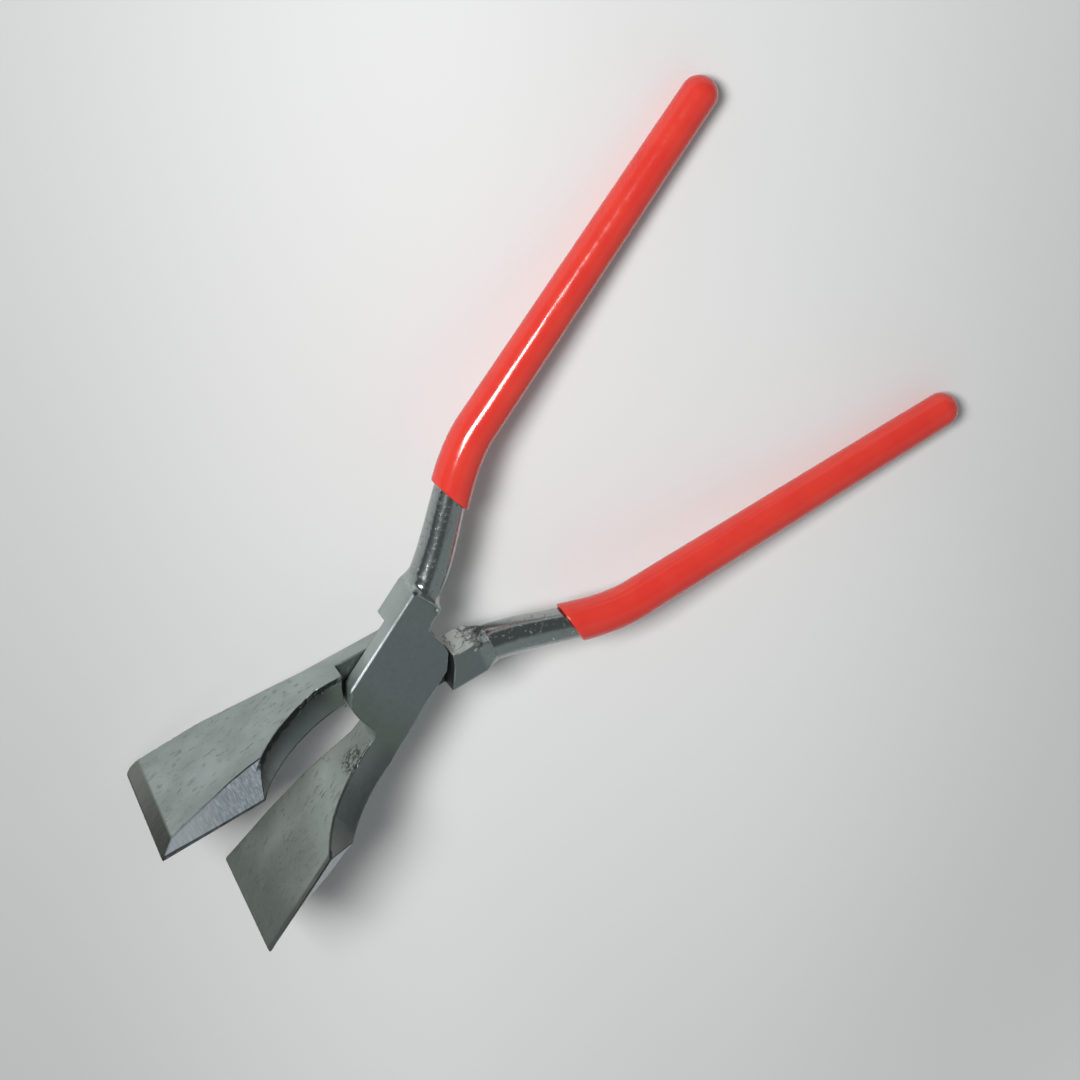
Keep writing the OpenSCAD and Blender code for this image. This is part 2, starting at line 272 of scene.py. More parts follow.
def arm_net(lap):
    """Corners and faces of the skin: one point in each box that the surface crosses, pulled onto it."""
    xs = spaced((-87.3, 24, 0.55), (24, 34, 0.75), (34, 56, 1.0), (56, 186, 2.6), (186, 190.6, 0.6))
    ys = spaced((-11.75, 13.3, 0.5), (13.3, 28.4, 0.7))
    zs = spaced((-31.1, -8.4, 0.62), (-8.4, 8.4, 0.5), (8.4, 31.3, 0.62))
    value = np.empty((len(xs), len(ys), len(zs)))
    for i in range(len(xs)):
        args = xs[i:i + 1, None, None], ys[None, :, None], zs[None, None, :]
        value[i] = (forging(*args, lap) if xs[i] < BLOCK_L else shank(*args, lap))[0]
    inside = value < 0
    step = [(0, 0, 0), (1, 0, 0), (0, 1, 0), (1, 1, 0), (0, 0, 1), (1, 0, 1), (0, 1, 1), (1, 1, 1)]
    n = [s - 1 for s in value.shape]
    corner = [inside[a:a + n[0], b:b + n[1], c:c + n[2]] for a, b, c in step]
    filled = sum(c.astype(int) for c in corner)
    cells = np.argwhere((filled > 0) & (filled < 8))
    index = np.full(n, -1)
    index[tuple(cells.T)] = np.arange(len(cells))
    total, count = np.zeros((len(cells), 3)), np.zeros(len(cells))
    for i, s in enumerate(step):
        for j in (i + 1, i + 2, i + 4):
            if j > 7 or sum(abs(np.subtract(step[j], s))) != 1:
                continue
            a, b = cells + s, cells + step[j]
            va, vb = value[tuple(a.T)], value[tuple(b.T)]
            hit = (va < 0) != (vb < 0)
            t = np.where(hit, va / np.where(hit, va - vb, 1), 0)[:, None]
            pa = np.stack([xs[a[:, 0]], ys[a[:, 1]], zs[a[:, 2]]], -1)
            pb = np.stack([xs[b[:, 0]], ys[b[:, 1]], zs[b[:, 2]]], -1)
            total += np.where(hit[:, None], pa + t * (pb - pa), 0)
            count += hit
    points = total / count[:, None]
    for _ in range(4):
        g = slope_of(points, lap, 0.03)
        d = arm_distance(points, lap)
        points -= g * np.clip(d / np.maximum((g * g).sum(1), 0.2), -0.3, 0.3)[:, None]
    faces = []
    for axis in range(3):
        b, c = (axis + 1) % 3, (axis + 2) % 3
        low = [slice(None)] * 3
        high = [slice(None)] * 3
        low[axis], high[axis] = slice(0, -1), slice(1, None)
        crossing = inside[tuple(low)] != inside[tuple(high)]
        at = np.argwhere(crossing)
        at = at[(at[:, b] > 0) & (at[:, c] > 0)]
        out = inside[tuple(at.T)]
        ring = []
        for db, dc in ((-1, -1), (0, -1), (0, 0), (-1, 0)):
            cell = at.copy()
            cell[:, b] += db
            cell[:, c] += dc
            ring.append(index[tuple(cell.T)])
        quad = np.stack(ring, -1)
        faces.append(np.where(out[:, None], quad, quad[:, ::-1]))
    return points, np.concatenate(faces)


RIVET_R, RIVET_HEAD_R, RIVET_HEAD_H = 4.0, 5.0, 2.0
RUNNING_GAP = 0.05


def rivet_solid(name, grow, overrun):
    """A round bar with a countersunk head at each end, turned about the joint's axis."""
    r, head_r = RIVET_R + grow, RIVET_HEAD_R + grow
    # A drill's cone starts just below the plate, so that no edge of it lies in the plate's face
    rim = 0.01 if overrun > 0 else 0.0
    rings = [(head_r, -overrun), (head_r, rim), (r, RIVET_HEAD_H), (r, 2 * HALF_T - RIVET_HEAD_H),
             (head_r, 2 * HALF_T - rim), (head_r, 2 * HALF_T + overrun)]
    if overrun == 0:
        rings = rings[1:-1]
    sides = 128
    around = [2 * math.pi * i / sides for i in range(sides)]
    verts = [(r * math.cos(w) / 1000, r * math.sin(w) / 1000, z / 1000) for r, z in rings for w in around]
    faces = []
    for low in range(0, (len(rings) - 1) * sides, sides):
        for i in range(sides):
            j = (i + 1) % sides
            faces.append((low + i, low + j, low + sides + j, low + sides + i))
    faces.append(tuple(range(sides - 1, -1, -1)))
    faces.append(tuple((len(rings) - 1) * sides + i for i in range(sides)))
    mesh = bpy.data.meshes.new(name)
    mesh.from_pydata(verts, [], faces)
    solid = bpy.data.objects.new(name, mesh)
    bpy.context.scene.collection.objects.link(solid)
    return solid


def forge_arm(name, side):
    """One arm in its place: side is 1 in front and -1 behind."""
    points, faces = arm_net(side)
    turn = math.radians(side * REST_HALF_ANGLE)
    place = np.array([[math.cos(turn), -math.sin(turn) * side, 0],
                      [math.sin(turn), math.cos(turn) * side, 0],
                      [0, 0, 1]])
    lift = np.array([0, 0, HALF_T])
    if side < 0:
        faces = faces[:, ::-1]
    mesh = bpy.data.meshes.new(name)
    mesh.from_pydata(((points @ place.T + lift) / 1000).tolist(), [], faces.tolist())
    blank = bpy.data.objects.new(name, mesh)
    bpy.context.scene.collection.objects.link(blank)
    # The rivet's hole is drilled through both laps at once
    drill = rivet_solid(name + "_drill", RUNNING_GAP if side > 0 else 0.0, 1.0)
    hole = blank.modifiers.new("Rivet hole", "BOOLEAN")
    hole.operation, hole.solver, hole.object = "DIFFERENCE", "EXACT", drill
    bpy.context.view_layer.update()
    seen = blank.evaluated_get(bpy.context.evaluated_depsgraph_get())
    drilled = bpy.data.meshes.new_from_object(seen)
    drilled.name = name
    # Slivers along the hole's edge are taken out
    cleaned = bmesh.new()
    cleaned.from_mesh(drilled)
    bmesh.ops.triangulate(cleaned, faces=[f for f in cleaned.faces if len(f.verts) > 4])
    bmesh.ops.dissolve_degenerate(cleaned, dist=5e-6, edges=cleaned.edges)
    cleaned.to_mesh(drilled)
    cleaned.free()
    blank.modifiers.clear()
    blank.data = drilled
    bpy.data.objects.remove(drill)
    # Where each corner lies in the closed frame, and which way the true surface faces there
    co = np.empty(len(drilled.vertices) * 3)
    drilled.vertices.foreach_get("co", co)
    local = (co.reshape(-1, 3) * 1000 - lift) @ place
    facing = slope_of(local, side, 0.12)
    facing /= np.linalg.norm(facing, axis=1)[:, None]
    for name_of, value in arm_masks(local, facing, side).items():
        mask = drilled.attributes.new(name_of, "FLOAT", "POINT")
        mask.data.foreach_set("value", value.astype(np.float32))
    corner_point = np.empty(len(drilled.loops), int)
    drilled.loops.foreach_get("vertex_index", corner_point)
    flat = np.empty(len(drilled.polygons) * 3)
    drilled.polygons.foreach_get("normal", flat)
    loops_each = np.empty(len(drilled.polygons), int)
    drilled.polygons.foreach_get("loop_total", loops_each)
    flat = np.repeat(flat.reshape(-1, 3), loops_each, 0)
    true = (facing @ place.T)[corner_point]
    in_hole = np.hypot(*local[:, :2].T)[corner_point] < RIVET_HEAD_R + RUNNING_GAP + 0.02
    own = in_hole & ((flat * true).sum(1) < 0.9)
    drilled.normals_split_custom_set(np.where(own[:, None], flat, true).tolist())
    return blank


def past_line(x, y, start, end):
    """Distance to the outer side of the line from start to end."""
    dx, dy = end[0] - start[0], end[1] - start[1]
    return ((x - start[0]) * dy - (y - start[1]) * dx) / math.hypot(dx, dy)


def arm_masks(p, n, lap):
    """Distances in mm to the borders between the skin's faces, and where it is worn, rough or painted with
    shade.
    """
    x, y, z = p.T
    across = outline_distance(ARM_OUTLINE, x, y)
    along = outline_distance(PLAN_OUTLINE[lap], x, z)
    bevel = side_bevel(x, y, z)
    tip_line = past_line(x, y, (-JAW_L, -TIP_T), (TIP_BEVEL_X, -TIP_BEVEL_T))
    belly_line = past_line(x, y, (TIP_BEVEL_X, -TIP_BEVEL_T), (BELLY_X, -BELLY_T))
    inner = arm_distance(p - 0.4 * n, lap) + 0.4
    outer = 0.7 - arm_distance(p + 0.7 * n, lap)
    block = share(x, 12, 14) * share(x, 30, 26) * share(y, 4.4, 3.4) * (n[:, 1] < -0.3)
    lap_face = (np.abs(lap * z - LAP_GAP / 2) < 0.25) & (lap * n[:, 2] < -0.3) & (x < BLOCK_L)
    throat_rim = (x < -19) & (y > -1.2)
    return {
        "bevel_edge": bevel - np.maximum(across, along),
        "tip_edge": tip_line - np.maximum(belly_line, bevel),
        "throat_edge": along - across,
        "from_back": y - back_line(x),
        "outward": -n[:, 1],
        "upward": n[:, 2],
        "faces": share(np.abs(n[:, 1]), 0.5, 0.8) * share(x, 24, 21),
        "worn": np.clip(inner / 0.25, 0, 1) * ~(throat_rim | lap_face),
        # Painted shade: darker in creases and hollows, where shade falls
        "crease_shade": np.clip(outer / 0.4, 0, 1),
        "lacquered": share(x, 21.0, 22.5),
        "block_side": block.astype(float),
        # Painted shade on the laps' faces, which the other arm shades
        "lap_shade": lap_face.astype(float),
    }


def wire(tree, kind, inputs=None, **settings):
    """A new node with its settings, values and links."""
    made = tree.nodes.new(kind)
    for key, value in settings.items():
        setattr(made, key, value)
    for key, value in (inputs or {}).items():
        socket = made.inputs[key]
        if isinstance(value, bpy.types.NodeSocket):
            tree.links.new(value, socket)
        else:
            socket.default_value = value
    return made


def ramp(tree, value, low, high, to_low=0.0, to_high=1.0, smooth=True):
    made = wire(tree, "ShaderNodeMapRange", {
        "Value": value, "From Min": low, "From Max": high, "To Min": to_low, "To Max": to_high,
    }, interpolation_type="SMOOTHSTEP" if smooth else "LINEAR")
    return made.outputs["Result"]


def blended(tree, factor, first, second):
    made = wire(tree, "ShaderNodeMix", data_type="RGBA")
    made.clamp_factor = True
    for key, value in ((0, factor), (6, first), (7, second)):
        if isinstance(value, bpy.types.NodeSocket):
            tree.links.new(value, made.inputs[key])
        else:
            made.inputs[key].default_value = value
    return made.outputs[2]


def figure(tree, operation, a, b=0.0):
    made = wire(tree, "ShaderNodeMath", {0: a, 1: b}, operation=operation)
    return made.outputs[0]


def mottle(tree, coords, scale, detail, stretch=(1, 1, 1), shift=(0, 0, 0), rough=0.5):
    """Even cloudy noise in mm."""
    placed = wire(tree, "ShaderNodeMapping", {"Vector": coords, "Scale": stretch, "Location": shift})
    made = wire(tree, "ShaderNodeTexNoise", {
        "Vector": placed.outputs[0], "Scale": scale, "Detail": detail, "Roughness": rough,
    })
    return made.outputs["Fac"]


STEEL_DARK = (0.205, 0.238, 0.228, 1)
STEEL_LIGHT = (0.28, 0.315, 0.305, 1)
STEEL_PLATE = (0.225, 0.257, 0.258, 1)
STEEL_MOSS = (0.19, 0.225, 0.195, 1)
BLOCK_TOP = (0.235, 0.265, 0.264, 1)
FACE_DARK = (0.225, 0.268, 0.252, 1)
FACE_LIGHT = (0.315, 0.362, 0.35, 1)
# The clamping face's colours carry painted light and shade: lighter where the other jaw shades it, darker
# towards the tip
CLAMP_ROOT = (0.265, 0.292, 0.276, 1)
CLAMP_PAINTED_LIGHT = (0.45, 0.5, 0.46, 1)
CLAMP_FAR_PAINTED_LIGHT = (0.6, 0.66, 0.61, 1)
CLAMP_OLIVE_SHADE = (0.085, 0.107, 0.092, 1)
# The tip bevel is dark unground steel, with painted shade making it darker towards +Z
TIP_LIGHT = (0.2, 0.218, 0.19, 1)
TIP_DARK = (0.05, 0.06, 0.046, 1)
BLOCK_PALE = (0.5, 0.53, 0.5, 1)
LACQUER = (0.36, 0.4, 0.39, 1)
STEEL_GROUND = (0.27, 0.315, 0.335, 1)
STEEL_BRIGHT = (0.5, 0.55, 0.58, 1)
STEEL_WORN = (0.42, 0.45, 0.44, 1)
STEEL_RUBBED_AND_GLINT = (0.78, 0.83, 0.85, 1)
# Near-black for scale, pits and dents, and for painted shade in creases, on the laps and throat walls and
# along the throat's rim
STEEL_SCALE_AND_SHADE = (0.03, 0.036, 0.033, 1)
# The rough patch on the front jaw's clamping face, its centre and its half sizes in mm
PATCH_X, PATCH_Z, PATCH_L, PATCH_W = -31.4, 4.4, 5.0, 7.5
DENT_DEPTH, WAVE_DEPTH = 0.0002, 0.0004


def arm_steel(name, side):
    """Blackened satin steel: cloudy green-grey, dented faces, brushed bevels and a lacquered shank, with
    painted light and shade on the jaws, laps and creases.
    """
    material = bpy.data.materials.new(name)
    material.use_nodes = True
    tree = material.node_tree
    shader = tree.nodes["Principled BSDF"]
    place = wire(tree, "ShaderNodeMapping", {
        "Vector": wire(tree, "ShaderNodeTexCoord").outputs["Object"],
        "Rotation": (0, 0, -math.radians(side * REST_HALF_ANGLE)),
        "Scale": (1000, 1000, 1000),
    })
    mm = place.outputs[0]
    x, y, z = wire(tree, "ShaderNodeSeparateXYZ", {0: mm}).outputs
    y = figure(tree, "MULTIPLY", y, side)
    z = figure(tree, "SUBTRACT", z, HALF_T)
    skin = {key: wire(tree, "ShaderNodeAttribute", attribute_name=key).outputs["Fac"]
            for key in ("bevel_edge", "tip_edge", "throat_edge", "from_back", "outward", "upward", "faces",
                        "worn", "crease_shade", "lacquered", "block_side", "lap_shade")}

    def times(*factors):
        product = factors[0]
        for factor in factors[1:]:
            product = figure(tree, "MULTIPLY", product, factor)
        return product

    def sum_of(a, b):
        return figure(tree, "ADD", a, b)

    cloud = mottle(tree, mm, 0.06, 3)
    drift = mottle(tree, mm, 0.035, 2, shift=(40, 10, 5))
    grain = mottle(tree, mm, 0.9, 5, rough=0.6)
    fleck = mottle(tree, mm, 0.45, 4, rough=0.6, shift=(3, 31, 8))
    dents = mottle(tree, mm, 0.6, 4, stretch=(0.58, 1, 1), shift=(7, 3, 9), rough=0.62)
    crust = ramp(tree, fleck, 0.42, 0.6)
    brushed = mottle(tree, mm, 1.0, 3, stretch=(3.2, 0.35, 0.35), rough=0.7)
    on_bevel = ramp(tree, skin["bevel_edge"], -0.07, 0.07)
    on_tip = times(ramp(tree, skin["tip_edge"], -0.1, 0.1), ramp(tree, skin["outward"], 0.2, 0.5))
    off_bevel = figure(tree, "SUBTRACT", 1.0, on_bevel)
    face = times(skin["faces"], off_bevel, figure(tree, "SUBTRACT", 1.0, on_tip))
    jaw = ramp(tree, x, -19.0, -26.0)
    clamping = times(face, jaw, ramp(tree, skin["outward"], 0.3, -0.3))
    plate = times(ramp(tree, skin["upward"], 0.6, 0.9), ramp(tree, x, -30.0, -17.0))
    throat_wall = times(ramp(tree, skin["throat_edge"], -0.06, 0.06), ramp(tree, z, 4.0, 6.0))
    wall = times(throat_wall, jaw, off_bevel)
    # Scale left in the corner below the trimmed edge, and on the clamping face's root
    band_edge = figure(tree, "SUBTRACT", skin["from_back"], times(fleck, 2.4))
    band = times(throat_wall, ramp(tree, x, -17.0, -19.0), ramp(tree, band_edge, 1.1, 0.2, 0.0, 0.92),
                 1.0 if side < 0 else 0.0)
    on_patch = wire(tree, "ShaderNodeCombineXYZ", {
        0: figure(tree, "DIVIDE", sum_of(x, -PATCH_X), PATCH_L),
        1: figure(tree, "DIVIDE", sum_of(z, -PATCH_Z), PATCH_W),
    })
    from_patch = wire(tree, "ShaderNodeVectorMath", {0: on_patch.outputs[0]}, operation="LENGTH")
    patch = times(clamping, ramp(tree, from_patch.outputs["Value"], 1.0, 0.6),
                  ramp(tree, grain, 0.47, 0.58), 1.0 if side > 0 else 0.0)

    colour = blended(tree, ramp(tree, cloud, 0.3, 0.7), STEEL_DARK, STEEL_LIGHT)
    top = blended(tree, ramp(tree, sum_of(x, times(cloud, 12.0)), 0.0, -16.0), STEEL_PLATE, STEEL_MOSS)
    top = blended(tree, ramp(tree, x, 8.0, 14.0), top, BLOCK_TOP)
    colour = blended(tree, plate, colour, top)
    dull = blended(tree, ramp(tree, cloud, 0.3, 0.7), FACE_DARK, FACE_LIGHT)
    colour = blended(tree, face, colour, dull)
    # Painted light and shade on the clamping face: lighter towards the middle and the far corner, darker
    # and olive down the jaw towards the tip
    shade_down_jaw = ramp(tree, sum_of(x, times(drift, 24.0)), -28.0, -72.0)
    clamp = blended(tree, ramp(tree, x, -24.0, -44.0), CLAMP_ROOT, CLAMP_PAINTED_LIGHT)
    light_toward_far = times(ramp(tree, x, -34.0, -48.0), ramp(tree, z, 6.0, -14.0))
    clamp = blended(tree, light_toward_far, clamp, CLAMP_FAR_PAINTED_LIGHT)
    colour = blended(tree, clamping, colour, blended(tree, shade_down_jaw, clamp, CLAMP_OLIVE_SHADE))
    colour = blended(tree, times(skin["block_side"], 0.9), colour, BLOCK_PALE)
    # The tip bevel's dark steel carries painted shade, darker towards +Z
    tip = blended(tree, ramp(tree, z, -28.0, 26.0), TIP_LIGHT, TIP_DARK)
    colour = blended(tree, on_tip, colour, tip)
    ground = blended(tree, ramp(tree, brushed, 0.42, 0.7), STEEL_GROUND, STEEL_BRIGHT)
    ground = blended(tree, ramp(tree, x, -62.0, -80.0, 0.0, 0.6), ground, STEEL_BRIGHT)
    colour = blended(tree, on_bevel, colour, ground)
    colour = blended(tree, skin["lacquered"], colour, LACQUER)

    dented = times(ramp(tree, dents, 0.555, 0.665), face, jaw,
                   ramp(tree, cloud, 0.35, 0.6, 0.55, 1.0))
    speck = times(ramp(tree, grain, 0.6, 0.66), skin["lacquered"])
    coarse = mottle(tree, mm, 0.2, 1, shift=(9, 2, 4))
    ridge = figure(tree, "ABSOLUTE", sum_of(coarse, -0.5))
    ridges = times(skin["block_side"], ramp(tree, ridge, 0.03, 0.008))
    blotch = times(skin["block_side"], ramp(tree, sum_of(x, times(fleck, 8.0)), 22.0, 27.0), crust)
    seam = times(ramp(tree, figure(tree, "ABSOLUTE", skin["bevel_edge"]), 0.32, 0.08),
                 ramp(tree, sum_of(x, times(fleck, 30.0)), -60.0, -42.0, 0.35, 1.0),
                 ramp(tree, x, -45.0, -50.0))
    # Painted shade along the throat's rim, dimming its highlight
    painted_rim_shade = times(ramp(tree, figure(tree, "ABSOLUTE", skin["throat_edge"]), 0.8, 0.3),
                     ramp(tree, y, -2.6, -2.2), jaw, off_bevel)
    land = times(ramp(tree, y, -0.95, -0.8), ramp(tree, z, 26.0, 27.5), ramp(tree, y, 0.0, -0.1))
    # Painted shade on the throat wall, darkest under its back edge
    throat_wall_shade = ramp(tree, skin["from_back"], 9.0, 1.5, 0.0, 0.4 if side > 0 else 0.7)
    # The plate's outer edge is rubbed bright, and painted near-white along it as a painted highlight
    plate_edge = figure(tree, "MAXIMUM", ramp(tree, skin["worn"], 0.1, 0.6), ramp(tree, y, 12.0, 12.25))
    rubbed_edge_and_glint = times(plate_edge, ramp(tree, y, 11.4, 12.2), ramp(tree, z, 6.6, 7.0),
                   ramp(tree, x, 14.0, -6.0, 0.25, 1.0))
    # Dark marks: scale, pits and dents, and painted shade in creases, on the laps, on the throat walls and
    # along the throat's rim
    for amount, tone in (
        (times(dented, 0.4), STEEL_SCALE_AND_SHADE), (times(skin["crease_shade"], 0.4), STEEL_SCALE_AND_SHADE),
        (times(skin["lap_shade"], 0.6), STEEL_SCALE_AND_SHADE), (times(patch, 0.85), STEEL_SCALE_AND_SHADE),
        (times(ridges, 0.55), STEEL_SCALE_AND_SHADE), (times(blotch, 0.6), STEEL_SCALE_AND_SHADE), (band, STEEL_SCALE_AND_SHADE),
        (times(wall, throat_wall_shade), STEEL_SCALE_AND_SHADE),
        (times(painted_rim_shade, 0.8), STEEL_SCALE_AND_SHADE), (seam, STEEL_SCALE_AND_SHADE),
        (times(land, 0.9 if side < 0 else 0.7), STEEL_SCALE_AND_SHADE),
        (times(skin["worn"], off_bevel, ramp(tree, grain, 0.35, 0.6, 0.05, 0.5)), STEEL_WORN),
        (rubbed_edge_and_glint, STEEL_RUBBED_AND_GLINT),
    ):
        colour = blended(tree, amount, colour, tone)
    tree.links.new(colour, shader.inputs["Base Color"])

    metal = ramp(tree, times(face, off_bevel), 0.0, 1.0, 1.0, 0.4, smooth=False)
    tree.links.new(metal, shader.inputs["Metallic"])
    satin = sum_of(ramp(tree, grain, 0.3, 0.7, 0.34, 0.44, smooth=False), times(plate, 0.1))
    polish = ramp(tree, grain, 0.3, 0.7, 0.14, 0.2, smooth=False)
    rough = wire(tree, "ShaderNodeMix", {0: skin["lacquered"], 2: satin, 3: polish}).outputs[0]
    tree.links.new(rough, shader.inputs["Roughness"])

    depth = times(dented, 0.65)
    for pit in (times(patch, 1.5), times(band, crust), ridges, speck):
        depth = figure(tree, "MAXIMUM", depth, pit)
    dent = wire(tree, "ShaderNodeBump", {
        "Strength": 1.0, "Distance": DENT_DEPTH,
        "Height": figure(tree, "SUBTRACT", times(grain, 0.2), depth),
    })
    # The faces are slightly wavy from the hammer; the plate is ground flat
    wavy = times(mottle(tree, mm, 0.16, 2), ramp(tree, plate, 0.0, 1.0, 1.0, 0.25),
                 ramp(tree, skin["lacquered"], 0.0, 1.0, 1.0, 0.3))
    wave = wire(tree, "ShaderNodeBump", {
        "Strength": 1.0, "Distance": WAVE_DEPTH, "Height": wavy, "Normal": dent.outputs[0],
    })
    tree.links.new(wave.outputs[0], shader.inputs["Normal"])
    return material


front_arm = forge_arm("front_arm_forging", 1)
front_arm.data.materials.append(arm_steel("front arm steel", 1))
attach(front_arm, "front")
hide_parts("front_arm")

# Rear arm: the same forging turned over, with its lap on the lower half. It is
# pressed on the rivet, and the front arm turns on it.
rear_arm = forge_arm("rear_arm_forging", -1)
rear_arm.data.materials.append(arm_steel("rear arm steel", -1))
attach(rear_arm, "rear")
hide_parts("rear_arm")

# Rivet: a round steel pin through both laps, riveted over in countersinks and
# ground flush with the plates, so that only a faint ring of it shows.
rivet = rivet_solid("joint_rivet", RUNNING_GAP - 0.01, 0.0)
rivet.data.materials.append(arm_steel("rivet steel", 1))
# Its heads are part of the plate: no bevel and no tip is near them
for name_of, value in (("bevel_edge", -9.0), ("tip_edge", -9.0), ("upward", 1.0)):
    skin = rivet.data.attributes.new(name_of, "FLOAT", "POINT")
    skin.data.foreach_set("value", [value] * len(rivet.data.vertices))
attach(rivet, "rear")
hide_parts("rivet")

# Grips: each handle is dipped in red vinyl. The skin follows the handle's bow
# to a round end, and it is cut off square at the mouth, where its wall shows.
GRIP_T, GRIP_END, MOUTH_LEAN = 1.25, 191.5, 7.0
# Shares of the skin's grid at which its parts end, and its rings and columns
END_TO, BORE_TO, LIP_TO, SIDE_TO = 0.04, 0.2, 0.25, 0.84
RINGS, COLUMNS = 321, 97


def grip_tree():
    """A sleeve along a handle, as a grid rolled round the handle's bowed line."""
    tree = bpy.data.node_groups.new("Dipped grip", "GeometryNodeTree")
    face = tree.interface
    face.new_socket("Geometry", in_out="OUTPUT", socket_type="NodeSocketGeometry")
    for label, value in (
        ("Side", 1.0), ("Handle rise", HANDLE_RISE), ("Bow height", BOW_H), ("Bow start", BOW_START),
        ("Bow end", BOW_END), ("Toe in", TOE_IN), ("Root radius", SHANK_ROOT_R), ("Shank radius", SHANK_R),
        ("End radius", SHANK_END_R), ("Block length", BLOCK_L), ("Mouth", MOUTH_L), ("End", GRIP_END),
        ("Steel end", STEEL_END),
        ("Wall", GRIP_T), ("Lean", MOUTH_LEAN), ("Half angle", REST_HALF_ANGLE), ("Lift", HALF_T),
        ("Unevenness", 0.08),
    ):
        socket = face.new_socket(label, in_out="INPUT", socket_type="NodeSocketFloat")
        socket.default_value = value
    face.new_socket("Skin", in_out="INPUT", socket_type="NodeSocketMaterial")
    given = tree.nodes.new("NodeGroupInput").outputs

    def sum_of(operation, a, b=0.0, c=0.0):
        return wire(tree, "ShaderNodeMath", {0: a, 1: b, 2: c}, operation=operation).outputs[0]

    def span(value, low, high, to_low, to_high, kind="LINEAR"):
        return wire(tree, "ShaderNodeMapRange", {
            "Value": value, "From Min": low, "From Max": high, "To Min": to_low, "To Max": to_high,
        }, interpolation_type=kind).outputs["Result"]

    def line_at(s):
        bow = span(s, given["Bow start"], given["Bow end"], 0.0, given["Bow height"], "SMOOTHSTEP")
        past_bow = sum_of("MAXIMUM", sum_of("SUBTRACT", s, given["Bow end"]), 0.0)
        toe = sum_of("MULTIPLY", past_bow, given["Toe in"])
        return sum_of("SUBTRACT", sum_of("ADD", bow, given["Handle rise"]), toe)

    def slope_at(s):
        return sum_of("SUBTRACT", line_at(sum_of("ADD", s, 0.5)), line_at(sum_of("SUBTRACT", s, 0.5)))

    def steel_at(s):
        first = span(s, given["Block length"], given["Mouth"], given["Root radius"], given["Shank radius"])
        fall = sum_of("SUBTRACT", given["Shank radius"], given["End radius"])
        return sum_of("SUBTRACT", first, span(s, given["Mouth"], given["End"], 0.0, fall))

    grid = wire(tree, "GeometryNodeMeshGrid", {
        "Size X": 1.0, "Size Y": 1.0, "Vertices X": RINGS, "Vertices Y": COLUMNS,
    })
    on_grid = wire(tree, "GeometryNodeInputPosition").outputs[0]
    at = wire(tree, "ShaderNodeSeparateXYZ", {0: on_grid}).outputs
    u = sum_of("ADD", at[0], 0.5)
    turn = sum_of("MULTIPLY", sum_of("ADD", at[1], 0.5), 2 * math.pi)
    # u runs from the steel's end along the inner wall, round the lip, back outside and over the end
    under = span(u, 0.0, END_TO, math.pi / 2, 0.0)
    lip = span(u, BORE_TO, LIP_TO, 0.0, math.pi)
    outside = span(u, LIP_TO, SIDE_TO, 0.0, 1.0)
    over = span(u, SIDE_TO, 1.0, 0.0, math.pi / 2)
    dome_r = sum_of("ADD", steel_at(given["End"]), given["Wall"])
    dome_start = sum_of("SUBTRACT", given["End"], dome_r)
    run = sum_of("MULTIPLY", outside, sum_of("SUBTRACT", dome_start, given["Mouth"]))
    lip_out = sum_of("MULTIPLY", sum_of("SINE", lip), sum_of("MULTIPLY", given["Wall"], -0.4))
    lip_in = sum_of("MULTIPLY", given["Wall"], 0.4)
    bore_end = sum_of("SUBTRACT", given["Steel end"], given["End radius"])
    bore = sum_of("SUBTRACT", bore_end, given["Mouth"])
    depth = span(u, END_TO, BORE_TO, sum_of("SUBTRACT", bore, lip_in), 0.0)
    s0 = sum_of("ADD", sum_of("ADD", given["Mouth"], run), sum_of("ADD", depth, lip_in))
    s0 = sum_of("ADD", s0, lip_out)
    s0 = sum_of("SUBTRACT", s0, sum_of("MULTIPLY", lip_in, outside))
    out = sum_of("MULTIPLY", sum_of("SUBTRACT", 1.0, sum_of("COSINE", lip)), 0.5)
    wall = sum_of("MULTIPLY", out, given["Wall"])
    body_r = sum_of("ADD", steel_at(s0), wall)
    noise = wire(tree, "ShaderNodeTexNoise", {
        "Vector": wire(tree, "ShaderNodeCombineXYZ", {
            0: sum_of("MULTIPLY", s0, 0.05), 1: sum_of("SINE", turn), 2: sum_of("COSINE", turn),
        }).outputs[0], "Scale": 1.4, "Detail": 2.0,
    }).outputs["Fac"]
    swell = sum_of("MULTIPLY", sum_of("SUBTRACT", noise, 0.75), given["Unevenness"])
    swell = sum_of("MULTIPLY", swell, span(u, LIP_TO, LIP_TO + 0.08, 0.0, 1.0, "SMOOTHSTEP"))
    closing = sum_of("MULTIPLY", sum_of("COSINE", over), sum_of("COSINE", under))
    radius = sum_of("MULTIPLY", sum_of("ADD", body_r, swell), closing)
    cos_turn, sin_turn = sum_of("COSINE", turn), sum_of("SINE", turn)
    across = sum_of("MULTIPLY", radius, cos_turn)
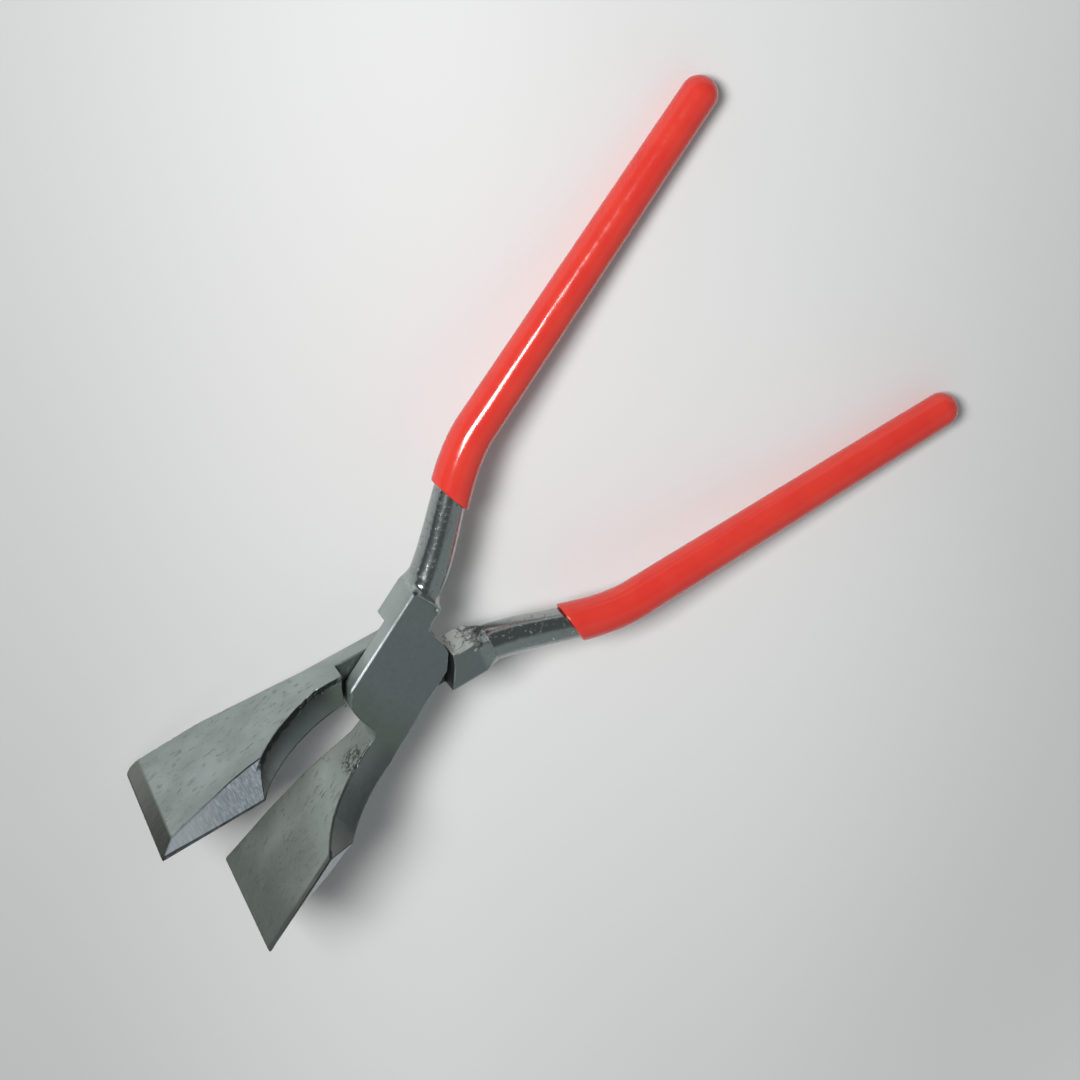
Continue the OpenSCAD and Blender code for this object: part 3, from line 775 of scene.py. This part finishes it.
    # The mouth's plane leans from square to X, and the lean fades out along the grip
    lean = sum_of("ADD", slope_at(s0), sum_of("TANGENT", sum_of("RADIANS", given["Lean"])))
    fade = span(s0, sum_of("ADD", given["Mouth"], 1.0), sum_of("ADD", given["Mouth"], 24.0), 1.0, 0.0)
    s = sum_of("ADD", s0, sum_of("MULTIPLY", sum_of("MULTIPLY", across, lean), fade))
    s = sum_of("ADD", s, sum_of("MULTIPLY", sum_of("SINE", over), dome_r))
    s = sum_of("ADD", s, sum_of("MULTIPLY", sum_of("SINE", under), given["End radius"]))
    slope = slope_at(s)
    length = sum_of("SQRT", sum_of("ADD", sum_of("MULTIPLY", slope, slope), 1.0))
    x = sum_of("SUBTRACT", s, sum_of("DIVIDE", sum_of("MULTIPLY", across, slope), length))
    y = sum_of("ADD", line_at(s), sum_of("DIVIDE", across, length))
    z = sum_of("MULTIPLY", radius, sin_turn)
    placed = wire(tree, "GeometryNodeSetPosition", {
        "Geometry": grid.outputs["Mesh"],
        "Position": wire(tree, "ShaderNodeCombineXYZ", {
            0: x, 1: sum_of("MULTIPLY", y, given["Side"]), 2: sum_of("ADD", z, given["Lift"]),
        }).outputs[0],
    })
    angle = sum_of("MULTIPLY", sum_of("RADIANS", given["Half angle"]), given["Side"])
    turned = wire(tree, "GeometryNodeTransform", {
        "Geometry": placed.outputs[0],
        "Rotation": wire(tree, "ShaderNodeCombineXYZ", {2: angle}).outputs[0],
        "Scale": (0.001, 0.001, 0.001),
    })
    sewn = wire(tree, "GeometryNodeMergeByDistance", {"Geometry": turned.outputs[0], "Distance": 0.000005})
    smooth = wire(tree, "GeometryNodeSetShadeSmooth", {"Geometry": sewn.outputs[0]})
    whole = wire(tree, "GeometryNodeRealizeInstances", {"Geometry": smooth.outputs[0]})
    done = wire(tree, "GeometryNodeSetMaterial", {"Geometry": whole.outputs[0], "Material": given["Skin"]})
    wire(tree, "NodeGroupOutput", {"Geometry": done.outputs[0]})
    return tree


VINYL_DARK = (0.68, 0.038, 0.027, 1)
VINYL_LIGHT = (0.71, 0.048, 0.031, 1)
DIP_DEPTH = 0.00012


def grip_vinyl(name):
    """Glossy dipped vinyl: one even red, slightly uneven under its shine."""
    material = bpy.data.materials.new(name)
    material.use_nodes = True
    tree = material.node_tree
    shader = tree.nodes["Principled BSDF"]
    place = wire(tree, "ShaderNodeMapping", {
        "Vector": wire(tree, "ShaderNodeTexCoord").outputs["Object"], "Scale": (1000, 1000, 1000),
    })
    mm = place.outputs[0]
    cloud = mottle(tree, mm, 0.09, 3)
    colour = blended(tree, ramp(tree, cloud, 0.3, 0.7), VINYL_DARK, VINYL_LIGHT)
    tree.links.new(colour, shader.inputs["Base Color"])
    shine = ramp(tree, mottle(tree, mm, 0.5, 4), 0.3, 0.7, 0.1, 0.2, smooth=False)
    tree.links.new(shine, shader.inputs["Roughness"])
    shader.inputs["IOR"].default_value = 1.5
    dips = wire(tree, "ShaderNodeBump", {
        "Strength": 0.6, "Distance": DIP_DEPTH, "Height": mottle(tree, mm, 0.13, 2),
    })
    tree.links.new(dips.outputs[0], shader.inputs["Normal"])
    return material


dipping = grip_tree()
inputs = {s.name: s.identifier for s in dipping.interface.items_tree if s.in_out == "INPUT"}
for body, side in (("front", 1), ("rear", -1)):
    dipped = bpy.data.objects.new(f"{body}_dipped_grip", bpy.data.meshes.new("seed"))
    bpy.context.scene.collection.objects.link(dipped)
    rule = dipped.modifiers.new("Dipped grip", "NODES")
    rule.node_group = dipping
    rule[inputs["Side"]] = float(side)
    rule[inputs["Skin"]] = grip_vinyl(f"{body} grip vinyl")
    bpy.context.view_layer.update()
    shaped = dipped.evaluated_get(bpy.context.evaluated_depsgraph_get())
    skin = bpy.data.meshes.new_from_object(shaped)
    skin.name = f"{body}_dipped_grip"
    dipped.modifiers.clear()
    dipped.data = skin
    # The grid is rolled inside out in front, and the rear grip is its mirror image
    if side > 0:
        skin.flip_normals()
    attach(dipped, body)
    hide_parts(f"{body}_grip")

# Floor: a pale sheet that the tips of the blades and the ends of the grips rest
# on. It rises between them as the pliers' own bottom does.

# Where the sheet starts to rise and where it stops, and how far it sinks under a grip's end, in metres
LOW_X, HIGH_X, SINK = -0.034, 0.172, 0.0009
low_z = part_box("front_arm")[0].z
high_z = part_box("front_grip")[0].z + SINK
REACH = 4.0
floor_x = np.concatenate([[-REACH, -1.0, -0.3], np.linspace(LOW_X, HIGH_X, 60), [0.4, 1.0, REACH]])
rise = np.clip((floor_x - LOW_X) / (HIGH_X - LOW_X), 0, 1)
floor_z = low_z + (high_z - low_z) * rise * rise * (3 - 2 * rise)
floor_verts = [(x, y, z) for y in (-REACH, REACH) for x, z in zip(floor_x, floor_z)]
n = len(floor_x)
floor_mesh = bpy.data.meshes.new("pale_floor")
floor_mesh.from_pydata(floor_verts, [], [(i, i + 1, n + i + 1, n + i) for i in range(n - 1)])
floor_mesh.polygons.foreach_set("use_smooth", [True] * (n - 1))
floor = bpy.data.objects.new("pale_floor", floor_mesh)
bpy.context.scene.collection.objects.link(floor)
paper = bpy.data.materials.new("pale paper")
paper.use_nodes = True
tree = paper.node_tree
shader = tree.nodes["Principled BSDF"]
# The sheet is painted with shade, greyer to both sides of the tool as the camera sees them
PALE_PAPER, PAPER_PAINTED_SHADE, FAR_GREY = (0.78, 0.78, 0.775, 1), (0.48, 0.48, 0.48, 1), (0.62, 0.62, 0.62, 1)
on_sheet = wire(tree, "ShaderNodeMapping", {
    "Vector": wire(tree, "ShaderNodeTexCoord").outputs["Object"],
    "Location": (-0.055, 0.0, 0.0), "Rotation": (0, 0, math.radians(39.8)),
}).outputs[0]
axes = wire(tree, "ShaderNodeSeparateXYZ", {0: on_sheet}).outputs
shade = figure(tree, "ADD", ramp(tree, axes[0], -0.02, -0.2, 0.0, 0.9),
               ramp(tree, axes[0], 0.06, 0.2, 0.0, 0.3))
paper_tone = blended(tree, shade, PALE_PAPER, PAPER_PAINTED_SHADE)
tree.links.new(paper_tone, shader.inputs["Base Color"])
shader.inputs["Roughness"].default_value = 0.9
shader.inputs["Specular IOR Level"].default_value = 0.0
# From below, the sheet is not there
see_through = wire(tree, "ShaderNodeBsdfTransparent")
from_below = wire(tree, "ShaderNodeNewGeometry").outputs["Backfacing"]
shown = wire(tree, "ShaderNodeMixShader", {0: from_below, 1: shader.outputs[0], 2: see_through.outputs[0]})
# The camera, and what shines in the steel, show the far part as pale as the near one; it lights nothing
away_from_tool = wire(tree, "ShaderNodeVectorMath", {0: on_sheet}, operation="LENGTH").outputs["Value"]
far_off = ramp(tree, away_from_tool, 0.18, 0.45)
backdrop = wire(tree, "ShaderNodeEmission", {"Color": FAR_GREY})
ray = wire(tree, "ShaderNodeLightPath").outputs
seen = figure(tree, "MAXIMUM", figure(tree, "MAXIMUM", ray["Is Camera Ray"], ray["Is Glossy Ray"]),
              ray["Is Transmission Ray"])
from_above = figure(tree, "SUBTRACT", 1.0, from_below)
seen = figure(tree, "MULTIPLY", figure(tree, "MULTIPLY", seen, far_off), from_above)
paled = wire(tree, "ShaderNodeMixShader", {0: seen, 1: shown.outputs[0], 2: backdrop.outputs[0]})
tree.links.new(paled.outputs[0], tree.nodes["Material Output"].inputs["Surface"])
floor_mesh.materials.append(paper)

# Light: one softbox to the left of the camera, whose narrow streak runs along
# the grips, and an even pale room that is darker overhead.
def toward(azimuth, elevation):
    """Direction to a lamp, with the azimuth counted from +X towards +Y."""
    a, e = math.radians(azimuth), math.radians(elevation)
    return Vector((math.cos(a) * math.cos(e), math.sin(a) * math.cos(e), math.sin(e)))


box_light = bpy.data.lights.new("softbox", "AREA")
box_light.shape = "RECTANGLE"
BOX_W, BOX_H, BOX_POWER, BOX_AWAY = 0.28, 0.25, 9.8, 1.0
box_light.size, box_light.size_y = BOX_W, BOX_H
box_light.energy = BOX_POWER
softbox = bpy.data.objects.new("softbox", box_light)
bpy.context.scene.collection.objects.link(softbox)
# It hangs over the tool's middle, with its width along the streak
aim = Vector((0.05, 0.0, 0.0075))
away = toward(111, 51)
along = (toward(129, 44) - toward(98, 55)).normalized()
along = (along - away * along.dot(away)).normalized()
softbox.matrix_world = Matrix.Translation(aim + away * BOX_AWAY) @ Matrix(
    (along, away.cross(along), away)).transposed().to_4x4()

world = bpy.data.worlds.new("pale room")
bpy.context.scene.world = world
world.use_nodes = True
tree = world.node_tree
look = wire(tree, "ShaderNodeTexCoord").outputs["Generated"]
sight = wire(tree, "ShaderNodeSeparateXYZ", {0: look}).outputs
ROOM_TINT, HORIZON_TINT, HORIZON_GLOW = (0.93, 0.99, 1.0, 1), (1.0, 1.0, 1.0, 1), 0.6
# The room is dim behind the camera, paler beyond the jaws, and bright low down past the rear grip
beyond = ramp(tree, sight[1], -0.15, -0.45, 0.13, 0.38)
diagonal = figure(tree, "ADD", sight[0], sight[1])
low_glow = figure(tree, "MULTIPLY", ramp(tree, diagonal, 0.7, 1.1),
                  ramp(tree, sight[2], 0.36, 0.12, 0.0, 0.5))
# It ends in a pale rim that carries on the sheet's far part
horizon = ramp(tree, sight[2], 0.1, 0.02)
room = ramp(tree, horizon, 0.0, 1.0, figure(tree, "ADD", beyond, low_glow), HORIZON_GLOW, smooth=False)
tree.links.new(room, tree.nodes["Background"].inputs["Strength"])
tint = blended(tree, horizon, ROOM_TINT, HORIZON_TINT)
tree.links.new(tint, tree.nodes["Background"].inputs["Color"])

# Camera: above the handles, looking down past the joint at the jaws.
lens = bpy.data.cameras.new("camera")
lens.sensor_width, lens.lens = 36.0, 72.92792
camera = bpy.data.objects.new("camera", lens)
bpy.context.scene.collection.objects.link(camera)
right = Vector((0.72305, -0.60186, 0.33906))
down = Vector((-0.69035, -0.64725, 0.32324))
forward = Vector((0.02491, -0.46779, -0.88349))
stand = Vector((0.03926719, 0.3022769, 0.5819565))
camera.matrix_world = Matrix.Translation(stand) @ Matrix((right, -down, -forward)).transposed().to_4x4()
bpy.context.scene.camera = camera

bpy.context.scene.view_settings.view_transform = "Standard"
